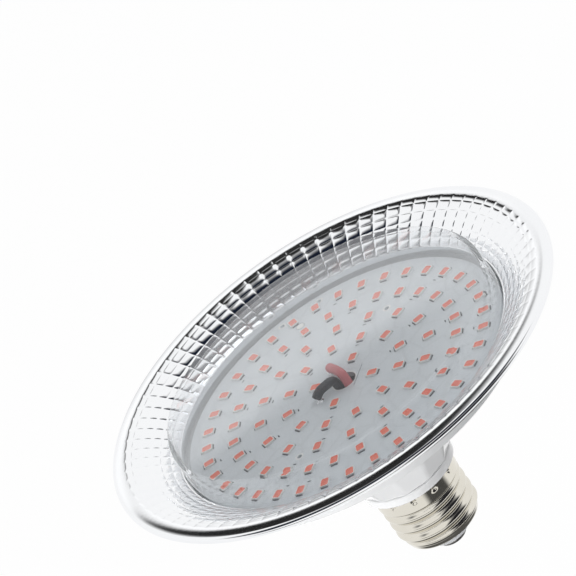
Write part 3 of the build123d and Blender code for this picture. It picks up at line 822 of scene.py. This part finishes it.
# %% The curve of the dish and the flat sides
def circle_through(a, b, c):
    """Centre and radius of the circle through three points of the section."""
    ax, ay, bx, by, cx, cy = *a, *b, *c
    a2, b2, c2 = ax * ax + ay * ay, bx * bx + by * by, cx * cx + cy * cy
    d = 2 * (ax * (by - cy) + bx * (cy - ay) + cx * (ay - by))
    ux = (a2 * (by - cy) + b2 * (cy - ay) + c2 * (ay - by)) / d
    uy = (a2 * (cx - bx) + b2 * (ax - cx) + c2 * (bx - ax)) / d
    return ux, uy, hypot(ax - ux, ay - uy)


dish_middle = ((facet_top_r + rim_r) / 2, (facet_high + dish_high) / 2 + DISH_SAG)
dish_x, dish_z, dish_bend = circle_through((facet_top_r, facet_high), dish_middle, (rim_r, dish_high))


def facet_reach(turn, height):
    """Radius of the flat sides in one direction."""
    side = 2 * pi / NECK_SIDES
    off = (turn - NECK_TURN) % side - side / 2
    flat = FACET_R + FACET_FLARE * (height - facet_low) / FACET_HEIGHT
    return min(flat / cos(off), flat * CORNER_CAP)


def dish_angle(r, z):
    """Angle of a point of the dish's section, seen from the centre of its curve."""
    return -Vector((1, 0)).angle_signed(Vector((r - dish_x, z - dish_z)))


def neck_ring(height, radius=0.0):
    """Ring of the outside: the flat sides, or a circle where that reaches further."""
    points = []
    for number in range(NECK_COLUMNS):
        turn = 2 * pi * number / NECK_COLUMNS
        sides = facet_reach(turn, height) if height < facet_high + BLEND_HEIGHT else 0.0
        points.append(polar(max(radius, sides), turn, height))
    return points


print("dish curve radius", round(dish_bend, 4))

# %% The neck's mesh
SPIGOT_WALL = 1.7 * MM
GROOVE_HALF = 0.8 * MM
GROOVE_FLOOR = 0.4 * MM
FACET_ROWS = 24
DISH_ROWS = 32
RIM_HEIGHT = 2.2 * MM
RIM_WALL = 1.2 * MM
RIM_SOFT = 0.3 * MM
LEDGE_WIDTH = 11.0 * MM
LEDGE_THICKNESS = 2.0 * MM
INNER_ROWS = 12
DISH_LIFT = 0.4 * MM
INNER_LIFT = 0.6 * MM


def neck_rows():
    """Rings of points from the spigot up the outside, over the rim and back down the inside."""
    spigot_r = (skirt_r - SHELL_SHEET) * cos(pi / 24) - 0.1 * MM
    groove_r = spigot_r - DENT_DEPTH
    outline = [(spigot_r - SPIGOT_WALL, housing_low.z), (spigot_r, housing_low.z)]
    outline += [(spigot_r, dent_z - GROOVE_HALF), (groove_r, dent_z - GROOVE_FLOOR)]
    outline += [(groove_r, dent_z + GROOVE_FLOOR), (spigot_r, dent_z + GROOVE_HALF)]
    outline += [(spigot_r, shell_high.z)]
    outline += corner_arc(BAND_R - BAND_ROUND, shell_high.z + BAND_ROUND, BAND_ROUND, -90, 0, 4)
    outline += corner_arc(BAND_R - BAND_ROUND, facet_low - BAND_ROUND, BAND_ROUND, 0, 80, 4)
    rows = [ring(r, z, NECK_COLUMNS) for r, z in outline]
    rows += [neck_ring(facet_low + FACET_HEIGHT * step / FACET_ROWS) for step in range(FACET_ROWS + 1)]
    start, end = dish_angle(facet_top_r, facet_high), dish_angle(rim_r, dish_high)
    for step in range(1, DISH_ROWS + 1):
        turn = start + (end - start) * step / DISH_ROWS
        rows.append(neck_ring(dish_z + dish_bend * sin(turn), dish_x + dish_bend * cos(turn)))
    rim_low = ledge_top + RIM_HEIGHT
    ledge_r = rim_r - LEDGE_WIDTH
    outline = [(rim_r, rim_low - RIM_SOFT), (rim_r - RIM_SOFT, rim_low), (rim_r - RIM_WALL, rim_low)]
    outline += [(rim_r - RIM_WALL, ledge_top), (ledge_r, ledge_top), (ledge_r, dish_high)]
    for step in range(1, INNER_ROWS + 1):
        share = step / INNER_ROWS
        r = ledge_r + (facet_top_r - HOUSING_WALL - ledge_r) * share
        reach = max(dish_bend ** 2 - (r + LEDGE_THICKNESS - dish_x) ** 2, 0)
        z = min(dish_high, dish_z + reach ** 0.5 + DISH_LIFT) if dish_z < facet_high else dish_high
        outline.append((r, z + (facet_high + INNER_LIFT - z) * share ** 3))
    outline.append((FACET_R - HOUSING_WALL, facet_low))
    return rows + [ring(r, z, NECK_COLUMNS) for r, z in outline]


neck = grid_mesh("moulded_neck", neck_rows(), True, 30)
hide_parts("neck_housing")
white_moulded = finish_of(
    "white_moulded_plastic", (0.80, 0.805, 0.81), (0.76, 0.765, 0.77), (0.1, 0.14), 0.0, 1.0, 25.0, 1100.0,
    0.02,
)
wear(neck, white_moulded, "housing_white")
print("neck faces", len(neck.data.polygons))

# %% [markdown]
# The insulator and the centre contact close the cap. Both are turned. The insulator is pale and
# smooth; the contact is tinned, with a flat tip that has seen a lampholder's spring.

# %% Insulator and contact
PIN_R = 1.6 * MM
NOSE_FLAT_R = 5.9 * MM
NOSE_ROUND = 0.4 * MM
CONE_HEIGHT = 4.5 * MM
CONE_SOFT = 0.3 * MM
INSULATOR_WALL = 2.2 * MM
INNER_NOSE_R = 3.8 * MM
insulator_low, insulator_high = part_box("cap_insulator")
nose_z = insulator_low.z
plug_r = insulator_high.x
cone_high = nose_z + CONE_HEIGHT
insulator_outline = [(PIN_R, nose_z), (NOSE_FLAT_R, nose_z)]
insulator_outline += corner_arc(NOSE_FLAT_R, nose_z + NOSE_ROUND, NOSE_ROUND, -90, -20, 4)
insulator_outline += [
    (plug_r - CONE_SOFT, cone_high - CONE_SOFT),
    (plug_r, cone_high),
    (plug_r, insulator_high.z),
    (plug_r - INSULATOR_WALL, insulator_high.z),
    (plug_r - INSULATOR_WALL, cone_high + 0.1 * MM),
    (INNER_NOSE_R, nose_z + INSULATOR_WALL),
    (PIN_R, nose_z + INSULATOR_WALL),
]
insulator = turned("pale_insulator", insulator_outline, 128)
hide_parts("cap_insulator")
pale_glaze = finish_of("pale_insulator_glaze", (0.72, 0.73, 0.74), (0.64, 0.65, 0.67), (0.12, 0.25), coat=0.3)
wear(insulator, pale_glaze, "insulator_glass")

CONTACT_FLAT_R = 3.4 * MM
CONTACT_EDGE = 0.2 * MM
CONTACT_STEM_R = 1.5 * MM
contact_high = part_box("centre_contact")[1]
contact_r = contact_high.x
tip_round = contact_r - CONTACT_FLAT_R
contact_outline = [(0.0, 0.0), (CONTACT_FLAT_R, 0.0)]
contact_outline += corner_arc(CONTACT_FLAT_R, tip_round, tip_round, -80, 0, 6)
contact_outline += [(contact_r, nose_z - CONTACT_EDGE), (contact_r - CONTACT_EDGE, nose_z)]
contact_outline += [(CONTACT_STEM_R, nose_z), (CONTACT_STEM_R, contact_high.z), (0.0, contact_high.z)]
contact = turned("end_contact", contact_outline, 96, 50)
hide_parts("centre_contact")
worn_tin = finish_of(
    "worn_tin", (0.62, 0.61, 0.59), (0.42, 0.41, 0.40), (0.2, 0.4), 1.0, 0.0, 350.0, 600.0, 0.2
)
wear(contact, worn_tin, "contact_metal")
print("cap faces", len(insulator.data.polygons), len(contact.data.polygons))

# %% [markdown]
# The driver inside the neck can't be seen, but it is there. Its solids keep their shapes, and each
# gets the finish that such a part has: laminate, sleeves, ferrite, copper and moulded epoxy.

# %% Finishes of the driver
def copper_finish():
    """Enamelled wire: fine turns that run round the coil, as bands along its axis."""
    material = finish_of("enamelled_copper", (0.60, 0.24, 0.10), (0.45, 0.16, 0.06), (0.2, 0.3), 0.8, 0.4)
    nodes = material.node_tree.nodes
    link = material.node_tree.links.new
    bands = nodes.new("ShaderNodeTexWave")
    bands.bands_direction = "Y"
    bands.inputs["Scale"].default_value = 900.0
    where = nodes.new("ShaderNodeTexCoord")
    relief = nodes["Bump"]
    relief.inputs["Strength"].default_value = 0.6
    link(where.outputs["Object"], bands.inputs["Vector"])
    link(bands.outputs["Fac"], relief.inputs["Height"])
    return material


epoxy = finish_of("moulded_epoxy", (0.035, 0.035, 0.04), (0.02, 0.02, 0.024), (0.45, 0.6), bump=0.2)
sleeve = finish_of("capacitor_sleeve", (0.03, 0.035, 0.06), (0.015, 0.018, 0.035), (0.15, 0.25), coat=0.4)
pale_sleeve = finish_of("pale_sleeve", (0.78, 0.78, 0.75), (0.70, 0.70, 0.67), (0.4, 0.5), bump=0.1)
ferrite = finish_of("dark_ferrite", (0.06, 0.06, 0.065), (0.035, 0.035, 0.04), (0.5, 0.7), bump=0.3)
driver_finishes = {
    "driver_board": finish_of("green_laminate", (0.05, 0.22, 0.09), (0.035, 0.16, 0.065), (0.2, 0.35)),
    "input_capacitor": sleeve,
    "output_capacitor": sleeve,
    "inductor_core": ferrite,
    "inductor_winding": copper_finish(),
    "film_capacitor": finish_of("yellow_film_case", (0.70, 0.46, 0.05), (0.60, 0.38, 0.04), (0.3, 0.4)),
    "fuse_resistor": finish_of("blue_grey_lacquer", (0.20, 0.30, 0.38), (0.15, 0.23, 0.30), (0.3, 0.4)),
    "component_legs": tin_darkened_as_shade,
    "live_lead": pale_sleeve,
    "neutral_lead": pale_sleeve,
}
for node in ("bridge_rectifier", "driver_chip", "rectifier_diode", "chip_resistors"):
    driver_finishes[node] = epoxy
for node, material in driver_finishes.items():
    cover_with(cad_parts[node], material)
print("driver finishes", len(driver_finishes))

# %% [markdown]
# The set is a pale floor well below the bulb, which is held by its cap, and a studio of soft
# light. Bright metal shows its surroundings, so the room is not even. It is white, with an unlit
# ceiling, and behind the bulb a lit wall ends in a dark gap below the ceiling. On the camera's side
# a patch of floor and a tall shape are dark. To the eye the background is plain white.

# %% Helpers for the studio
def direction(azimuth, elevation):
    """Unit vector towards a compass angle from +X and a height above the horizon."""
    flat = cos(radians(elevation))
    return Vector((flat * cos(radians(azimuth)), flat * sin(radians(azimuth)), sin(radians(elevation))))


def vector_step(tree, operation, first, second=None, scale=None):
    """Output of a Vector Math node."""
    step = tree.nodes.new("ShaderNodeVectorMath")
    step.operation = operation
    put(tree, first, step.inputs[0])
    if second is not None:
        put(tree, second, step.inputs[1])
    if scale is not None:
        put(tree, scale, step.inputs["Scale"])
    return step.outputs["Value" if operation in ("DOT_PRODUCT", "LENGTH") else "Vector"]


def ranged(tree, value, low, high, lowest=0.0, soft=True):
    """Value mapped from low..high to lowest..1, with soft or straight ends."""
    step = tree.nodes.new("ShaderNodeMapRange")
    step.interpolation_type = "SMOOTHSTEP" if soft else "LINEAR"
    for label, number in (("Value", value), ("From Min", low), ("From Max", high), ("To Min", lowest)):
        put(tree, number, step.inputs[label])
    return step.outputs["Result"]


print("straight up", [round(part, 2) for part in direction(0.0, 90.0)])

# %% Floor
FLOOR_DROP = 0.55
FLOOR_SIZE = 30.0
FLOOR_GLOW_SHARE = 0.9
FLOOR_WHITE = 1.04
DARK_FLOOR_AZIMUTH = 70.0
DARK_FLOOR_REACH = 0.80
DARK_FLOOR_SIZE = (0.50, 0.58, 1.0)
DARK_FLOOR_SOFT = (0.7, 1.15)
DARK_FLOOR_LEVEL = 0.02
DARK_BELOW_R = 0.42
DARK_BELOW_LEVEL = 0.04


def floor_finish():
    """Pale floor, plain white to the eye, with two dark patches that only mirrors see."""
    material = finish_of(
        "studio_floor", (0.90, 0.90, 0.90), (0.89, 0.89, 0.89), (0.6, 0.7), cloud=2.0, grain=50.0
    )
    tree = material.node_tree
    ray = tree.nodes.new("ShaderNodeLightPath").outputs
    where = tree.nodes.new("ShaderNodeTexCoord").outputs["Object"]
    patch = tree.nodes.new("ShaderNodeMapping")
    patch.vector_type = "TEXTURE"
    patch.inputs["Location"].default_value = direction(DARK_FLOOR_AZIMUTH, 0.0) * DARK_FLOOR_REACH
    patch.inputs["Rotation"].default_value = (0, 0, radians(DARK_FLOOR_AZIMUTH))
    patch.inputs["Scale"].default_value = DARK_FLOOR_SIZE
    tree.links.new(where, patch.inputs["Vector"])
    off_patch = vector_step(tree, "LENGTH", patch.outputs["Vector"])
    aside = ranged(tree, off_patch, *DARK_FLOOR_SOFT, DARK_FLOOR_LEVEL)
    off_middle = vector_step(tree, "LENGTH", where)
    below = ranged(tree, off_middle, DARK_BELOW_R, DARK_BELOW_R * 1.5, DARK_BELOW_LEVEL, False)
    not_mirrored = math_step(tree, "SUBTRACT", 1.0, ray["Is Glossy Ray"])
    in_mirror = math_step(tree, "MAXIMUM", not_mirrored, math_step(tree, "MINIMUM", aside, below))
    glow = tree.nodes.new("ShaderNodeEmission")
    glow.inputs["Color"].default_value = (1, 1, 1, 1)
    put(tree, math_step(tree, "MULTIPLY", in_mirror, FLOOR_WHITE), glow.inputs["Strength"])
    seen = math_step(tree, "MAXIMUM", ray["Is Camera Ray"], ray["Is Glossy Ray"])
    seen = math_step(tree, "MAXIMUM", seen, ray["Is Transmission Ray"])
    share = math_step(tree, "MULTIPLY", seen, FLOOR_GLOW_SHARE)
    surface = tree.nodes["Principled BSDF"].outputs["BSDF"]
    blend_shaders(tree, share, surface, glow.outputs["Emission"], tree.nodes["Material Output"])
    return material


floor_mesh = bmesh.new()
bmesh.ops.create_grid(floor_mesh, x_segments=4, y_segments=4, size=FLOOR_SIZE / 2)
floor_data = bpy.data.meshes.new("floor")
floor_mesh.to_mesh(floor_data)
floor_mesh.free()
floor = add_object("floor", floor_data)
floor.location.z = -FLOOR_DROP
floor_data.materials.append(floor_finish())
print("floor", FLOOR_DROP, "m below the contact's tip")

# %% [markdown]
# The room is drawn as a world of directions. Each mask says how near a direction lies to an axis,
# and each mask blends one more thing into the room: the unlit foot of the wall and the tall dark
# shape on the camera's side, the lit wall and the gap above it behind the bulb, and the ceiling.

# %% Sky
CAMERA_AZIMUTH = 36.66
CAMERA_ELEVATION = 27.93
CEILING_CENTRE = 80.0
CEILING_HALF = 22.0
CEILING_SOFT = 9.0
CEILING_ENDS = (0.72, 0.84)
CEILING_TONE = (0.010, 0.014, 0.026, 1)
BACK_GLOW = 1.3
BACK_BANDS = [(0.0, 0.3), (26.5, 0.85), (29.4, 0.85), (31.0, 0.01), (46.0, 0.02), (60.0, 0.02), (66.0, 0.3)]
BACK_HALF_WIDTH = (0.08, 0.16)
BACK_SHIFT = 0.05
BACK_CENTRE = 30.0
BACK_REACH = (60.0, 45.0)
ROOM_BANDS = [(0.0, 0.04), (6.0, 0.06), (11.0, 1.0)]
ROOM_DARK_CENTRE = 3.0
ROOM_DARK_REACH = (80.0, 58.0)
DARK_SHAPE = (70.0, 12.0)
DARK_SHAPE_REACH = (40.0, 26.0)
DARK_SHAPE_TONE = (0.02, 0.02, 0.025, 1)
WHITE = (1.0, 1.0, 1.0, 1.0)


def near_mask(tree, source, axis, low, high):
    """Mask that rises as a direction nears an axis, between two angles from it in degrees."""
    return ranged(tree, vector_step(tree, "DOT_PRODUCT", source, axis), cos(radians(low)), cos(radians(high)))


def height_bands(tree, height, levels):
    """Grey levels by elevation, from the height of a unit direction."""
    ramp = tree.nodes.new("ShaderNodeValToRGB")
    stops = ramp.color_ramp.elements
    while len(stops) < len(levels):
        stops.new(0.5)
    for stop, (elevation, level) in zip(stops, levels):
        stop.position = sin(radians(elevation))
        stop.color = (level, level, level, 1)
    put(tree, height, ramp.inputs["Fac"])
    return ramp.outputs["Color"]


def build_sky():
    """White room, its dark ceiling, and the bands of light and dark behind the bulb."""
    world = bpy.data.worlds.new("studio_sky")
    scene.world = world
    world.use_nodes = True
    tree = world.node_tree
    where = tree.nodes.new("ShaderNodeTexCoord").outputs["Generated"]
    parts = tree.nodes.new("ShaderNodeSeparateXYZ")
    put(tree, where, parts.inputs[0])
    height = parts.outputs["Z"]
    rightward = direction(CAMERA_AZIMUTH + 90, 0.0)
    sideways = vector_step(tree, "DOT_PRODUCT", where, rightward)
    off_line = math_step(tree, "ABSOLUTE", math_step(tree, "ADD", sideways, BACK_SHIFT))

    facing = near_mask(tree, where, direction(CAMERA_AZIMUTH, ROOM_DARK_CENTRE), *ROOM_DARK_REACH)
    lit = mix_tone(tree, facing, WHITE, height_bands(tree, height, ROOM_BANDS))
    shape = near_mask(tree, where, direction(*DARK_SHAPE), *DARK_SHAPE_REACH)
    walls = mix_tone(tree, shape, lit, DARK_SHAPE_TONE)

    glow = vector_step(tree, "SCALE", height_bands(tree, height, BACK_BANDS), scale=BACK_GLOW)
    in_line = ranged(tree, off_line, BACK_HALF_WIDTH[1], BACK_HALF_WIDTH[0])
    at_back = near_mask(tree, where, direction(CAMERA_AZIMUTH + 180, BACK_CENTRE), *BACK_REACH)
    room = mix_tone(tree, math_step(tree, "MULTIPLY", in_line, at_back), walls, glow)

    spread = vector_step(tree, "SCALE", rightward, scale=sideways)
    in_plane = vector_step(tree, "NORMALIZE", vector_step(tree, "SUBTRACT", where, spread))
    ceiling_reach = (CEILING_HALF + CEILING_SOFT, CEILING_HALF - CEILING_SOFT)
    across = near_mask(tree, in_plane, direction(CAMERA_AZIMUTH, CEILING_CENTRE), *ceiling_reach)
    ends = ranged(tree, off_line, CEILING_ENDS[1], CEILING_ENDS[0], soft=False)
    strip = math_step(tree, "MULTIPLY", across, ends)

    sky = tree.nodes["Background"]
    put(tree, mix_tone(tree, strip, room, CEILING_TONE), sky.inputs["Color"])
    plain = tree.nodes.new("ShaderNodeBackground")
    plain.inputs["Color"].default_value = WHITE
    eye = tree.nodes.new("ShaderNodeLightPath").outputs["Is Camera Ray"]
    room_light, white_light = sky.outputs["Background"], plain.outputs["Background"]
    blend_shaders(tree, eye, room_light, white_light, tree.nodes["World Output"])
    return world


print("sky nodes", len(build_sky().node_tree.nodes))
scene.view_settings.view_transform = "Standard"

# %% [markdown]
# Two soft lamps shape the dull surfaces: a high one for the board, and a low one at the side, which
# tells the neck's flat sides apart. Neither shows in mirrors, as the room alone should.

# %% Lamps
LAMP_POWER = 5.0


def soft_lamp(name, azimuth, elevation, distance, size):
    """Square area lamp aimed at the light board, unseen in mirrors."""
    lamp = bpy.data.lights.new(name, "AREA")
    lamp.size = size
    lamp.energy = LAMP_POWER
    holder = add_object(name, lamp)
    holder.location = Vector((0, 0, board_top)) + direction(azimuth, elevation) * distance
    holder.rotation_mode = "QUATERNION"
    holder.rotation_quaternion = direction(azimuth, elevation).to_track_quat("Z", "Y")
    holder.visible_glossy = False


soft_lamp("key_lamp", 100.0, 58.0, 1.4, 0.9)
soft_lamp("low_lamp", 352.0, -24.0, 0.9, 0.25)
print("lamps", len(bpy.data.lights))

# %% [markdown]
# The photograph was taken from a long way off: the shade's far edge is hardly smaller than its
# near one. So the camera has a long lens and stands more than a metre away. It is rolled,
# so that the bulb leans as it does in the picture.

# %% Camera
CAMERA_DISTANCE = 1.1057
CAMERA_ROLL = 35.09
CAMERA_LENS = 245.55
AIM = Vector((-12.48, -6.75, 90.0)) * MM
camera_data = bpy.data.cameras.new("camera")
camera_data.lens = CAMERA_LENS
camera = add_object("camera", camera_data)
back = direction(CAMERA_AZIMUTH, CAMERA_ELEVATION)
camera.location = AIM + back * CAMERA_DISTANCE
flat_right = Vector((0, 0, 1)).cross(back).normalized()
level = Matrix((flat_right, back.cross(flat_right), back)).transposed()
camera.rotation_mode = "QUATERNION"
camera.rotation_quaternion = (Matrix.Rotation(radians(-CAMERA_ROLL), 3, back) @ level).to_quaternion()
scene.camera = camera
print("camera at", [round(value, 3) for value in camera.location])
